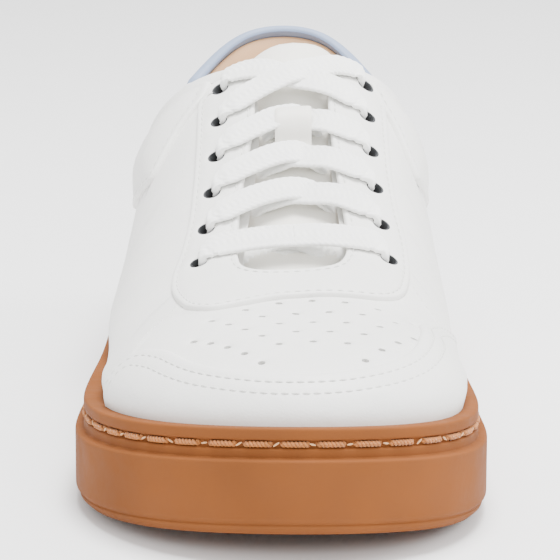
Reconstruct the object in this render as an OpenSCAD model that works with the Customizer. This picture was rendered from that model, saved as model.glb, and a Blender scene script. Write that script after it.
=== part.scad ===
/* [Sole] */
// Length of the sole from toe to heel
sole_length = 300; // [285:1:315]
// Width of the sole across the ball of the foot
ball_width = 114; // [106:1:120]
// Height of the cup wall above the ground at the ball
cup_height = 29; // [27:0.5:31]
// Height of the raised bumper band above the ground
bumper_height = 20.5; // [19:0.5:21]
// Lift of the toe end above the ground
toe_lift = 8; // [4:0.5:9]

/* [Upper] */
// Height of the heel collar above the ground
heel_height = 97; // [92:1:100]
// Lowest height of the collar below the ankle
ankle_height = 72; // [68:1:78]
// Thickness of one layer of upper leather
leather = 1.2; // [1:0.1:1.2]
// Greatest swell of the collar padding
collar_swell = 5; // [3:0.5:6]
// Roundness of the cross sections, 2 is an ellipse
roundness = 2.5; // [2.3:0.1:2.7]

/* [Lacing] */
// Number of eyelets on each side
eyelet_rows = 6; // [6:1:6]
// Distance between eyelet rows along the shoe
eyelet_pitch = 15; // [14.5:0.5:15]
// Diameter of one eyelet
eyelet_d = 6; // [5.6:0.1:6.4]
// Width of the flat lace
lace_w = 8; // [7:0.5:9]
// Thickness of the flat lace
lace_t = 1.4; // [1.2:0.1:1.5]

/* [Hidden] */

kx = ball_width / 114;
ky = sole_length / 300;
// Control points of the sole outline, from the toe along the lateral side and back
outline = [for (p = [
    [8, -157],
    [-28, -149], [-50, -124], [-59.5, -93], [-53.8, -46], [-53.5, 0], [-49, 48], [-45, 95], [-37, 136],
    [0, 156],
    [37, 136], [44, 95], [46, 48], [50, 0], [51.5, -46], [57, -95], [53, -127], [37, -148]
]) [(p.x + 0.8) * kx, (p.y + 2.4) * ky]];
COLS = 72;
HALF = COLS / 2;
ROWS = 8;
TOE_ROWS = 12;
GAP = 0.1;
// Room under the panels laid over other panels
LAP = 0.35;
// Room between the reinforcement strips and the quarters
tape_room = 0.78;
wall_inset = 1.2;
bumper_out = 1.3;
cup_inset = 5.6;
upper_inset = 7;
cup_floor = 8;
// How far the quarters end below the collar edge
rim_drop = 3.2;
lining_t = 1;
toe_bulge = 3;
toe_square = 0.9;
stiffener_t = 0.9;
throat_front = -57 * ky;
throat_end = 36 * ky;
eyelet_start = -45 * ky;
tongue_w = 20;
// How far the tongue lies below the outer surface of the upper
tongue_depth = 7;
tongue_end = 37 * ky;
tip_start = 40 * ky;
tip_end = 50 * ky;
thread_d = 1;
stitch_pitch = 10;

function wrap(i, n) = (i % n + n) % n;
function ramp(a, b, x) = let (k = min(1, max(0, (x - a) / (b - a)))) k * k * (3 - 2 * k);
function spline_point(c, t) =
    let (n = len(c), s = t * n, i = floor(s), f = s - i)
    (pow(1 - f, 3) * c[wrap(i - 1, n)] + (3 * f * f * f - 6 * f * f + 4) * c[wrap(i, n)]
        + (-3 * f * f * f + 3 * f * f + 3 * f + 1) * c[wrap(i + 1, n)] + f * f * f * c[wrap(i + 2, n)]) / 6;
function outline_at(t, inset) =
    let (p = spline_point(outline, t),
        d = spline_point(outline, t + 0.001) - spline_point(outline, t - 0.001))
    p + [d.y, -d.x] / norm(d) * inset;
function edge(i, inset) = outline_at(wrap(i, COLS) / COLS, inset);

// Heights along the shoe
function spring(y) = let (k = max(0, (-70 * ky - y) / (80 * ky))) toe_lift * k * k;
function bed(y) = 13 + 6 * ramp(-20, 90, y) + spring(y);
ridge_table = [
    [-110, 49], [-90, 52], [-70, 54.5], [-52, 58], [-45, 60], [-15, 75.5],
    [15, 92.5], [30, 100], [60, 115], [90, 125], [120, 129]
];
function ridge_z(y) = (lookup(y / ky - 8, ridge_table) + lookup(y / ky, ridge_table)
    + lookup(y / ky + 8, ridge_table)) / 3;
function ridge_x(y) = 5 + 2.5 * ramp(-90, -40, y) - 5 * ramp(10, 100, y);
throat_x = 4;
row_skew = 0.05;
collar_table = [
    [30, 106], [36, 103.5], [46, 92], [58, 81], [72, ankle_height + 2], [90, ankle_height],
    [108, ankle_height + 4], [124, ankle_height + 11], [136, heel_height - 5], [144, heel_height]
];
function collar_z(y) = lookup(y / ky, collar_table);

// Columns of the upper: each rises from the edge of the sole to the ridge
stations = [for (i = [0:HALF]) (edge(i, upper_inset).y + edge(-i, upper_inset).y) / 2];
function station(i) = stations[wrap(i, COLS) <= HALF ? wrap(i, COLS) : COLS - wrap(i, COLS)];
function soft(x) = x / sqrt(1 + x * x);
function ridge_y(y) = y < -60 ? -60 - 30 * soft((-60 - y) / 45) : y > 80 ? 80 + 30 * soft((y - 80) / 45) : y;
function ridge_xy(i) = let (y = ridge_y(station(i))) [ridge_x(y), y];
function col(y) = min([for (i = [0:HALF]) if (stations[i] >= y) i]);
// How far the wall swells out above the rim of the cup
function bulge(i) =
    let (y = station(i), medial = wrap(i, COLS) > HALF, side = medial ? 7.2 : 5.8)
    toe_bulge + 2.5 * ramp(-120, -80, y) + 2 * ramp(-80, -35, y) + (side - toe_bulge - 4.5) * ramp(-30, 10, y)
    + (6 - side) * ramp(20, 70, y) - 4.5 * ramp(100, 145, y);
// The toe box is squarer than the rest
function round_at(i) = roundness + toe_square * ramp(-75, -115, station(i));
function skin(i, ang, off) =
    let (n = round_at(i), c = pow(cos(ang), 2 / n), s = pow(sin(ang), 2 / n), r = ridge_xy(i),
        foot = edge(i, upper_inset), z0 = bed(foot.y) + 0.15,
        above = z0 + (ridge_z(r.y) - z0) * s - spring(foot.y) - cup_height,
        swelling = bulge(i) * ramp(-2, 10 + 20 * ramp(0, 60, station(i)), above),
        f = edge(i, upper_inset - off - swelling), zb = bed(f.y) + 0.15, p = r + (f - r) * c)
    [p.x, p.y, zb + (ridge_z(r.y) + off - zb) * s];
// Angle of a column at a height, and at a distance from the ridge
function angle_at_z(i, z) =
    let (f = edge(i, upper_inset), r = ridge_xy(i), zb = bed(f.y) + 0.15)
    asin(pow(min(1, max(0, (z - zb) / (ridge_z(r.y) - zb))), round_at(i) / 2));
// which is given from the middle of the throat
function angle_at_x(i, x) =
    let (r = ridge_xy(i), side = wrap(i, COLS) <= HALF ? 1 : -1, d = x + side * (r.x - throat_x))
    acos(pow(min(1, d / norm(edge(i, upper_inset - bulge(i)) - r)), round_at(i) / 2));
function throat_half(y) = 15.8 - 5 * ramp(throat_front, 10, y) + 2 * ramp(15, throat_end, y);
function top_angle(i, drop) =
    let (y = station(i))
    y < throat_front ? 90
        : y <= throat_end ? angle_at_x(i, throat_half(y))
        : angle_at_z(i, collar_z(y) - drop);
function swell(i, z) =
    let (y = station(i), top = collar_z(y), k = (z - (top - 34)) / 30)
    y < throat_end ? 0 : collar_swell * ramp(throat_end, throat_end + 20, y) * ramp(0, 0.6, k);

// Point on the upper near the ridge, at a distance across and a height above the skin
function span(i) = norm(edge(i, upper_inset - bulge(i)) - ridge_xy(i));
side_tables = [for (s = [-1, 1]) [for (i = [0:HALF]) [ridge_xy(i).y, span(-s * i)]]];
function over(y_row, x, off) =
    let (y = y_row + row_skew * x, e = x + throat_x - ridge_x(y),
        a = lookup(y, side_tables[e < 0 ? 0 : 1]) + max(off, -6),
        zb = bed(y) + 0.15, s = pow(max(0, 1 - pow(abs(e) / a, roundness)), 1 / roundness))
    [throat_x + x, y, zb + (ridge_z(y) + off - zb) * s];
function unit(v) = v / norm(v);
function over_normal(y, x) =
    unit(cross(over(y, x + 1, 0) - over(y, x - 1, 0), over(y + 1, x, 0) - over(y - 1, x, 0)));
function below(y, x, depth) = over(y, x, 0) - depth * over_normal(y, x);

function quad(a, b, c, d) = [[a, b, c], [a, c, d]];
function flat(l) = [for (a = l) for (b = a) b];

// Closed solid through a stack of rings round the sole, capped by cross strips
module ring_solid(rings) {
    n = len(rings);
    pts = flat(rings);
    last = (n - 1) * COLS;
    sides = flat([for (r = [0:n - 2]) for (i = [0:COLS - 1])
        quad(r * COLS + i, (r + 1) * COLS + i, (r + 1) * COLS + (i + 1) % COLS, r * COLS + (i + 1) % COLS)]);
    bottom = flat([for (k = [1:HALF - 2]) quad(k, k + 1, COLS - k - 1, COLS - k)]);
    caps = concat(bottom, [[0, 1, COLS - 1], [HALF - 1, HALF, HALF + 1]]);
    polyhedron(pts, concat(sides, [for (f = caps) [f[0], f[1], f[2]]],
        [for (f = caps) [last + f[2], last + f[1], last + f[0]]]));
}

function ring(inset, h) = [for (i = [0:COLS - 1]) let (p = edge(i, inset)) [p.x, p.y, h + spring(p.y)]];
function bed_ring(inset, h) = [for (i = [0:COLS - 1]) let (p = edge(i, inset)) [p.x, p.y, h + bed(p.y)]];

// Closed slab over a grid of points, from an inner face to an outer face
// The first row is left open where its two halves meet
module grid_slab(inner, outer, folded = false) {
    m = len(inner);
    n = len(inner[0]);
    k = m * n;
    function at(i, j) = i * n + j;
    skin_in = flat([for (i = [0:m - 2]) for (j = [0:n - 2])
        quad(at(i, j), at(i, j + 1), at(i + 1, j + 1), at(i + 1, j))]);
    skin_out = [for (f = skin_in) [k + f[2], k + f[1], k + f[0]]];
    ends = flat([for (j = [0:n - 2]) concat(
        folded ? [] : quad(at(0, j + 1), at(0, j), k + at(0, j), k + at(0, j + 1)),
        quad(at(m - 1, j), at(m - 1, j + 1), k + at(m - 1, j + 1), k + at(m - 1, j)))]);
    rims = flat([for (i = [0:m - 2]) concat(
        quad(at(i, 0), at(i + 1, 0), k + at(i + 1, 0), k + at(i, 0)),
        quad(at(i + 1, n - 1), at(i, n - 1), k + at(i, n - 1), k + at(i + 1, n - 1)))]);
    polyhedron(concat(flat(inner), flat(outer)), concat(skin_in, skin_out, ends, rims));
}

// Panel of the upper between two columns, two edges given as angles and two offsets
module panel(i0, i1, low, high, inner, outer, rows = ROWS) {
    function ang(i, j) = low(i) + (high(i) - low(i)) * j / rows;
    grid_slab([for (i = [i0:i1]) [for (j = [0:rows]) skin(i, ang(i, j), inner(i, ang(i, j)))]],
        [for (i = [i0:i1]) [for (j = [0:rows]) skin(i, ang(i, j), outer(i, ang(i, j)))]]);
}

// Panel over the toe, from column c on one side across the ridge to the other side
module toe_panel(c, inner, outer) {
    function place(i, j, off) = skin(j < 0 ? i : -i, 90 * (1 - abs(j) / TOE_ROWS), off);
    grid_slab([for (i = [0:c]) [for (j = [-TOE_ROWS:TOE_ROWS]) place(i, j, inner)]],
        [for (i = [0:c]) [for (j = [-TOE_ROWS:TOE_ROWS]) place(i, j, outer)]], true);
}

function fixed(v) = function(i, a) v;
function at_height(z) = function(i) angle_at_z(i, z);
function from_top(drop) = function(i) top_angle(i, drop);
base_line = function(i) 0;
collar_in = function(i, a) -leather - GAP - swell(i, skin(i, a, 0).z);

c_vamp = col(throat_front);
c_stay = col(-74 * ky);
c_collar = col(throat_end);
c_tab = col(122 * ky);
layer_1 = -leather;
layer_2 = -leather - GAP - stiffener_t;
layer_3 = layer_2 - GAP - lining_t;

module outsole() {
    r = concat(
        [ring(1.4, 0), ring(-0.4, 1.8), ring(-0.5, 2.6), ring(-bumper_out, 3.4),
            ring(-bumper_out, bumper_height - 2), ring(-0.7, bumper_height - 0.4),
            ring(0.6, bumper_height), ring(wall_inset, bumper_height + 0.5)],
        [ring(wall_inset, cup_height - 5.6), ring(wall_inset + 1.3, cup_height - 5.2),
            ring(wall_inset + 1.3, cup_height - 3.6), ring(wall_inset, cup_height - 3.2)],
        [ring(wall_inset, cup_height - 1), ring(wall_inset + 0.5, cup_height),
            ring(cup_inset - 0.4, cup_height), ring(cup_inset, cup_height - 0.6),
            ring(cup_inset, cup_floor)]);
    color("peru") ring_solid(r);
}

// Running thread in the groove round the cup wall
thread_inset = wall_inset + 0.65;
thread_h = cup_height - 4.4;
SAMPLES = 360;
arc_steps = [for (k = [0:SAMPLES - 1])
    norm(outline_at((k + 1) / SAMPLES, thread_inset) - outline_at(k / SAMPLES, thread_inset))];
function sums(v, i = 0, s = 0) = i >= len(v) ? [s] : concat([s], sums(v, i + 1, s + v[i]));
arc_table = let (s = sums(arc_steps)) [for (k = [0:SAMPLES]) [s[k], k / SAMPLES]];
seam_length = arc_table[SAMPLES][0];
function seam_point(s) =
    let (p = outline_at(lookup(s, arc_table), thread_inset))
    [p.x, p.y, thread_h + spring(p.y)];

module rod(a, b, d) {
    v = b - a;
    translate(a) rotate([0, acos(v.z / norm(v)), atan2(v.y, v.x)]) cylinder(d = d, h = norm(v), $fn = 13);
}

module sole_thread() {
    n = floor(seam_length / stitch_pitch);
    color("sandybrown") for (k = [0:n - 1]) {
        s = k * seam_length / n;
        rod(seam_point(s + 1), seam_point(s + 0.78 * seam_length / n), thread_d);
    }
}

module midsole_foam() {
    color("ivory") ring_solid([ring(cup_inset + GAP, cup_floor + GAP), bed_ring(cup_inset + GAP, 0)]);
}

module insole_board() {
    color("tan") ring_solid([bed_ring(11, 0.15), bed_ring(11, 1.8)]);
}

module footbed_foam() {
    color("gainsboro") ring_solid([bed_ring(11.4, 1.9), bed_ring(11.4, 5.9)]);
}

module footbed_cover() {
    color("navajowhite") ring_solid([bed_ring(11.4, 6), bed_ring(11.4, 7)]);
}

module vamp() {
    color("white") toe_panel(c_vamp, layer_1, 0);
}

guard_top = function(i) angle_at_z(i, 46.5 - 9 * ramp(-120, -60, station(i)));
module toe_guard() {
    c = col(-62 * ky);
    color("white") panel(-c, c, base_line, guard_top, fixed(LAP), fixed(leather + GAP));
}

module toe_puff() {
    c = col(-85 * ky);
    puff_top = function(i) angle_at_z(i, 44 - 9 * ramp(-125, -80, station(i)));
    color("beige") panel(-c, c, base_line, puff_top, fixed(layer_2 + 0.25), fixed(layer_1 - LAP));
}

module vamp_lining() {
    color("whitesmoke") toe_panel(c_vamp, layer_3, layer_2 - GAP);
}

// Holes of the lacing, square to the surface
function eyelet_y(k) = eyelet_start + k * eyelet_pitch * ky;
function eyelet_e(k) = 22 + 5.3 * pow(1 - k / 5, 2);
module eyelet_cuts() {
    for (k = [0:eyelet_rows - 1]) for (s = [-1, 1]) {
        p = over(eyelet_y(k), s * eyelet_e(k), 0);
        n = over_normal(eyelet_y(k), s * eyelet_e(k));
        rod(p - 9 * n, p + 5 * n, eyelet_d);
    }
}

module quarter(i0, i1) {
    color("white") resize([0, 0, 0]) difference() {
        panel(i0, i1, base_line, from_top(rim_drop), fixed(layer_1), fixed(0), 12);
        eyelet_cuts();
    }
}

module quarter_lateral() {
    quarter(c_vamp, HALF);
}

module quarter_medial() {
    quarter(HALF, COLS - c_vamp);
}

module heel_counter() {
    c = col(92 * ky);
    color("beige") panel(c, COLS - c, base_line, at_height(56), fixed(layer_2 + 0.2), fixed(layer_1 - 0.2));
}

// Strip along the throat, out to a distance from the ridge
module stay_strip(i0, i1, reach, drop, inner, outer) {
    panel(i0, i1, function(i) angle_at_x(i, reach(i)), from_top(drop), fixed(inner), fixed(outer), 6);
}
stay_edge = function(i) 30 + 4 * ramp(-20, -50, station(i));
tape_edge = function(i) 27 + 4 * ramp(-20, -50, station(i));

module eyestay() {
    color("white") resize([0, 0, 0]) difference() {
        union() {
            stay_strip(c_stay, c_collar, stay_edge, 0, LAP, leather + LAP);
            stay_strip(-c_collar, -c_stay, stay_edge, 0, LAP, leather + LAP);
        }
        eyelet_cuts();
    }
}

module eyelet_stays() {
    color("beige") resize([0, 0, 0]) difference() {
        union() {
            stay_strip(c_vamp, c_collar, tape_edge, rim_drop, layer_2 + GAP / 2, layer_1 - tape_room);
            stay_strip(-c_collar, -c_vamp, tape_edge, rim_drop, layer_2 + GAP / 2, layer_1 - tape_room);
        }
        eyelet_cuts();
    }
}

module collar_side(i0, i1) {
    low = function(i) angle_at_z(i, collar_z(station(i)) - 24);
    color("white") panel(i0, i1, low, from_top(rim_drop), fixed(LAP), fixed(leather + LAP));
}

module collar_lateral() {
    collar_side(c_collar, c_tab);
}

module collar_medial() {
    collar_side(COLS - c_tab, COLS - c_collar);
}

pad_low = function(i) angle_at_z(i, max(58, collar_z(station(i)) - 32));
module collar_padding() {
    color("khaki") panel(c_collar, COLS - c_collar, pad_low, from_top(3.6),
        function(i, a) collar_in(i, a) - stiffener_t + LAP, fixed(layer_1 - LAP));
}

module rim_band(i0, i1) {
    panel(i0, i1, from_top(3), from_top(0), function(i, a) layer_3 - 0.6 * swell(i, 200), fixed(leather), 2);
}

module collar_rim() {
    color("white") union() {
        rim_band(c_collar, c_tab);
        rim_band(COLS - c_tab, COLS - c_collar);
    }
}

module heel_tab() {
    color("lightsteelblue") union() {
        panel(c_tab, COLS - c_tab, function(i) angle_at_z(i, collar_z(station(i)) - 30), from_top(3.1),
            fixed(LAP), fixed(leather + LAP));
        panel(c_tab, COLS - c_tab, from_top(3), from_top(0),
            function(i, a) layer_3 - 0.6 * swell(i, 200), fixed(leather + LAP), 2);
    }
}

module quarter_lining() {
    color("burlywood") resize([0, 0, 0]) difference() {
        panel(c_vamp, COLS - c_vamp, base_line, from_top(rim_drop),
            function(i, a) collar_in(i, a) - stiffener_t - GAP - lining_t,
            function(i, a) collar_in(i, a) - stiffener_t - GAP, 12);
        eyelet_cuts();
    }
}

// Slab over the instep between two stations, with rounded side corners
module tongue_slab(y0, y1, inner, outer, w0, w1, steps) {
    function row(k, off) =
        let (y = y0 + (y1 - y0) * k / steps, half = w0 + (w1 - w0) * k / steps)
        [for (j = [-6:6]) over(y, -half * j / 6, off)];
    grid_slab([for (k = [0:steps]) row(k, inner)], [for (k = [0:steps]) row(k, outer)]);
}
tongue_start = -62 * ky;
front_w = 22;
tip_w = 13;
tongue_under = -tongue_depth - leather;
tongue_pad = -tongue_depth - 5.2;
tongue_back = -tongue_depth - 6.1;

module tongue() {
    color("white") tongue_slab(tongue_start, tongue_end, tongue_under, -tongue_depth, front_w, tongue_w, 11);
}

module tongue_padding() {
    color("khaki")
        tongue_slab(-40 * ky, tongue_end - 2, tongue_pad, tongue_under - GAP, front_w - 2, tongue_w - 2, 9);
}

module tongue_lining() {
    color("whitesmoke")
        tongue_slab(tongue_start, tongue_end, tongue_back, tongue_pad - GAP, front_w, tongue_w, 11);
}

module tongue_tip() {
    color("white") tongue_slab(tip_start, tip_end, tongue_under, -tongue_depth, tongue_w - 2.5, tip_w, 4);
}

module tongue_tip_padding() {
    color("khaki") tongue_slab(tip_start, tip_end, tongue_back, tongue_under - GAP, tongue_w - 2.5, tip_w, 4);
}

// Strap sewn across the middle of the tongue, over the crossing of the lace
module lace_keeper() {
    y0 = -2 * ky;
    y1 = 17 * ky;
    low = -tongue_depth + GAP;
    path = [[y0 - 4, low], [y0 + 1, low], [y0 + 3, 4.2], [y1 - 3, 4.2], [y1 - 1, low], [y1 + 4, low]];
    color("white") grid_slab([for (p = path) [for (e = [4.5, 0, -4.5]) over(p[0], e, p[1])]],
        [for (p = path) [for (e = [4.5, 0, -4.5]) over(p[0], e, p[1] + 0.9)]]);
}

// Route of half the lace: place, width and thickness
lift = leather + 0.6 + lace_t;
under = layer_3 - 1.2 - lace_t / 2;
narrow = eyelet_d - 2.2;
thick = 2.2;
along = unit([0, 1, 0.55]);
function wide(y, x, off, less = 0) = [over(y, x, off), lace_w - less, lace_t];
function gathered(y, x, off) = [below(y, x, -off), narrow, thick];
function crossing(k, s) =
    let (y = eyelet_y(k), e = eyelet_e(k), d = eyelet_pitch * ky, h = throat_half(y + d / 2))
    [gathered(y, -s * e, under), gathered(y, -s * e, lift - 0.4),
        wide(y + 0.6, -s * (e - 4), lift, 1), wide(y + 0.25 * d, -s * (h - 1), lift),
        wide(y + 0.38 * d, -s * 5, lift - 0.4), wide(y + 0.5 * d, s * 1, 0.8),
        wide(y + 0.62 * d, s * (h - 5), under + 0.6, 1), wide(y + 0.78 * d, s * (h + 1), under, 2)];
function first_bar(y, s) = [wide(y, 0, lift), wide(y, s * 20, lift), wide(y, s * 24.4, lift, 1.6),
    gathered(y, s * eyelet_e(0), lift - 0.4), gathered(y, s * eyelet_e(0), under),
    wide(y + 3, s * 18, under, 2),
    wide(y + 5.2, s * 10, under), wide(y + 7.5, 0, under + 0.2),
    wide(y + 9.8, -s * 10, under), wide(y + 12, -s * 18, under, 2)];
function last_cross(y, s) = [gathered(y, s * eyelet_e(4), under), gathered(y, s * eyelet_e(4), lift - 0.4),
    wide(y + 1, s * 15, lift), wide(y + 7.5, 0, lift + 0.6), wide(y + 13.5, -s * 15, lift, 1),
    gathered(eyelet_y(5), -s * eyelet_e(5), lift - 0.4)];
function tail(s) = [
    [below(30 * ky, s * 20.05, 5.6), narrow, thick], [below(27 * ky, s * 24, 6), narrow, thick],
    [below(20 * ky, s * 26.3, 6.4), narrow, thick], [below(10 * ky, s * 27, 6.6), 3, thick]
];
function half_lace(s) = concat(first_bar(eyelet_y(0), s), crossing(1, s), crossing(2, -s), crossing(3, s),
    last_cross(eyelet_y(4), s), tail(-s));

module ribbon(route) {
    pts = [for (p = route) p[0]];
    n = len(pts);
    rings = [for (i = [0:n - 1])
        let (t = unit(pts[min(n - 1, i + 1)] - pts[max(0, i - 1)]), w = along * route[i][1] / 2,
            h = unit(cross(t, along)) * route[i][2] / 2)
        [pts[i] - w - h, pts[i] + w - h, pts[i] + w + h, pts[i] - w + h]];
    faces = concat(flat([for (i = [0:n - 2]) for (k = [0:3])
        quad(4 * i + k, 4 * i + 4 + k, 4 * i + 4 + (k + 1) % 4, 4 * i + (k + 1) % 4)]),
        quad(0, 1, 2, 3), quad(4 * n - 1, 4 * n - 2, 4 * n - 3, 4 * n - 4));
    polyhedron(flat(rings), faces);
}

module lace() {
    color("white") resize([0, 0, 0]) union() {
        ribbon(half_lace(1));
        ribbon(half_lace(-1));
    }
}

module lace_tips() {
    color("white") for (s = [-1, 1]) rod(below(9 * ky, s * 27, 6.6), below(-8 * ky, s * 27.6, 7.2), 2.4);
}

outsole();
sole_thread();
midsole_foam();
insole_board();
footbed_foam();
footbed_cover();
vamp();
toe_guard();
toe_puff();
vamp_lining();
quarter_lateral();
quarter_medial();
heel_counter();
eyestay();
eyelet_stays();
collar_lateral();
collar_medial();
collar_padding();
collar_rim();
heel_tab();
quarter_lining();
tongue();
tongue_padding();
tongue_lining();
tongue_tip();
tongue_tip_padding();
lace_keeper();
lace();
lace_tips();
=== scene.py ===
"""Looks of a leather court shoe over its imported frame. Sizes are millimetres until a mesh is made."""
import math
import random

import bpy
import numpy as np
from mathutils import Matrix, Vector, noise
from mathutils.geometry import delaunay_2d_cdt
from numpy.linalg import norm


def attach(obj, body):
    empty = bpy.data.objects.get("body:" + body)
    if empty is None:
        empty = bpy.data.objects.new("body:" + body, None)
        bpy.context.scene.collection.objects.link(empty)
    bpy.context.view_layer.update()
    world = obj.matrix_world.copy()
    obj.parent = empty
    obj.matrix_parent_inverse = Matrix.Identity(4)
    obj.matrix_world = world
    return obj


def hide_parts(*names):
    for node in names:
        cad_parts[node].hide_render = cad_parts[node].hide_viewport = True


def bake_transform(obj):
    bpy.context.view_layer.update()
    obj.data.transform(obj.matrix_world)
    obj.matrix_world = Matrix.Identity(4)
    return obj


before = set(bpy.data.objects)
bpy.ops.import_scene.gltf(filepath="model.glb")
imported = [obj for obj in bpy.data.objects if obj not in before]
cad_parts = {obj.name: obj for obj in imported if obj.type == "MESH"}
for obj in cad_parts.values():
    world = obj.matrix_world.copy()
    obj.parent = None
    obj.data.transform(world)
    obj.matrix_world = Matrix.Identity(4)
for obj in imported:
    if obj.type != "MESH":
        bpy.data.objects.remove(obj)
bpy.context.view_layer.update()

MM = 0.001
FAR = 9e9
TINY = 1e-9
SHOE = "shoe"

# ---- camera
CAM_RISE = 18.0
CAM_AIM = 13.23
CAM_DISTANCE = 900.0
LENS = 218.3
camera = bpy.data.objects.new("camera", bpy.data.cameras.new("camera"))
bpy.context.scene.collection.objects.link(camera)
rise = math.radians(CAM_RISE)
camera.location = Vector((0, -150 - CAM_DISTANCE * math.cos(rise), CAM_DISTANCE * math.sin(rise))) * MM
aim = Vector((0, math.cos(math.radians(CAM_AIM)), -math.sin(math.radians(CAM_AIM))))
camera.rotation_euler = aim.to_track_quat("-Z", "Y").to_euler()
camera.data.lens = LENS
camera.data.sensor_width = 36
camera.data.clip_start = 0.01
bpy.context.scene.camera = camera

# ---- shape of the shoe, as in the frame
OUTLINE = np.array([
    (8, -157),
    (-28, -149), (-50, -124), (-59.5, -93), (-53.8, -46), (-53.5, 0), (-49, 48), (-45, 95), (-37, 136),
    (0, 156),
    (37, 136), (44, 95), (46, 48), (50, 0), (51.5, -46), (57, -95), (53, -127), (37, -148),
], float) + (0.8, 2.4)
UPPER_INSET = 7.0
CUP_INSET = 5.6
# The rim of the cup closes against the upper
LIP_INSET = 7.5
WALL_INSET = 1.2
BUMPER_OUT = 1.3
BUMPER_H = 20.5
CUP_H = 29.0
# Exponent of the cross sections, 2 is an ellipse
ROUND = 2.5
THROAT_X = 4.0
RIDGE = np.array([
    (-110, 49), (-90, 52), (-70, 54.5), (-52, 58), (-45, 60), (-15, 75.5),
    (15, 92.5), (30, 100), (60, 115), (90, 125), (120, 129),
], float)
COLLAR = np.array([
    (30, 106), (36, 103.5), (46, 92), (58, 81), (72, 74),
    (90, 72), (108, 76), (124, 83), (136, 93.5), (144, 99.5),
], float)


def ramp(a, b, x):
    """Smooth step from 0 at a to 1 at b."""
    k = np.clip((np.asarray(x, float) - a) / (b - a), 0, 1)
    return k * k * (3 - 2 * k)


def smoothed(table, y, reach):
    return sum(np.interp(y + d, table[:, 0], table[:, 1]) for d in np.linspace(-reach, reach, 9)) / 9


def spline_point(t):
    n = len(OUTLINE)
    s = np.asarray(t, float) % 1.0 * n
    i = np.floor(s).astype(int)
    f = (s - i)[..., None]
    c = OUTLINE
    return ((1 - f) ** 3 * c[(i - 1) % n] + (3 * f ** 3 - 6 * f ** 2 + 4) * c[i % n]
            + (-3 * f ** 3 + 3 * f ** 2 + 3 * f + 1) * c[(i + 1) % n] + f ** 3 * c[(i + 2) % n]) / 6


def outline(t, inset=0.0):
    """Point of the sole's edge in plan; t goes from the toe along the lateral side, heel at 0.5."""
    t = np.asarray(t, float)
    d = spline_point(t + 1e-3) - spline_point(t - 1e-3)
    n = np.stack([d[..., 1], -d[..., 0]], -1) / norm(d, axis=-1, keepdims=True)
    return spline_point(t) + n * np.asarray(inset, float)[..., None]


def spring(y):
    """Lift of the toe end above the floor."""
    k = np.maximum(0, (-70 - np.asarray(y)) / 80)
    return 8 * k * k


def bed(y):
    return 13 + 6 * ramp(-20, 90, y) + spring(y)


def ridge_z(y):
    return smoothed(RIDGE, y, 12)


def collar_z(y):
    return smoothed(COLLAR, y, 7)


def ridge_x(y):
    return 5 + 2.5 * ramp(-90, -40, y) - 5 * ramp(10, 100, y)


def ridge_y(y):
    """The ridge is shorter than the sole: its stations crowd together past both ends."""
    def soft(x):
        return x / np.sqrt(1 + x * x)
    y = np.asarray(y, float)
    back = np.where(y > 80, 80 + 30 * soft((y - 80) / 45), y)
    return np.where(y < -60, -60 - 30 * soft((-60 - y) / 45), back)


def feet(t, off=0.0):
    """Foot of a column of the upper, its place on the ridge, and its station along the shoe."""
    foot = outline(t, UPPER_INSET - np.asarray(off, float))
    station = (outline(t, UPPER_INSET)[..., 1] + outline(-np.asarray(t), UPPER_INSET)[..., 1]) / 2
    ry = ridge_y(station)
    return foot, np.stack([ridge_x(ry), ry], -1), station


def bulge(t):
    """How far the wall swells out above the rim of the cup."""
    y = feet(t)[2]
    side = np.where(np.asarray(t) % 1.0 > 0.5, 7.2, 5.8)
    front = 3 + 2.5 * ramp(-120, -80, y) + 2 * ramp(-80, -35, y) + (side - 7.5) * ramp(-30, 10, y)
    return front + (6 - side) * ramp(20, 70, y) - 4.5 * ramp(100, 145, y)


def round_at(t):
    """The toe box is squarer than the rest."""
    return ROUND + 0.9 * ramp(75, 115, -feet(t)[2])


def skin(t, ang, off=0.0):
    """Point of the upper's outer surface: ang is 0 at the sole and 90 at the ridge."""
    a = np.radians(ang)
    n = round_at(t)
    c = np.abs(np.cos(a)) ** (2 / n)
    s = np.abs(np.sin(a)) ** (2 / n)
    f0, r0, station = feet(t)
    zb = bed(f0[..., 1])
    above = zb + (ridge_z(r0[..., 1]) - zb) * s - spring(f0[..., 1]) - CUP_H
    f, r, _ = feet(t, off + bulge(t) * ramp(-4, 8 + 22 * ramp(0, 60, station), above))
    zb = bed(f[..., 1])
    p = r + (f - r) * c[..., None]
    return np.concatenate([p, (zb + (ridge_z(r[..., 1]) + off - zb) * s)[..., None]], -1)


def angle_at_z(t, z):
    """Angle at which a column reaches a height."""
    f, r, _ = feet(t)
    zb = bed(f[..., 1])
    return np.degrees(np.arcsin(np.clip((z - zb) / (ridge_z(r[..., 1]) - zb), 0, 1) ** (round_at(t) / 2)))


HALF_COLUMNS = np.linspace(0, 0.5, 361)
SIDES = [(t,) + feet(t, bulge(t))[:2] for t in (HALF_COLUMNS, -HALF_COLUMNS)]


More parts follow.
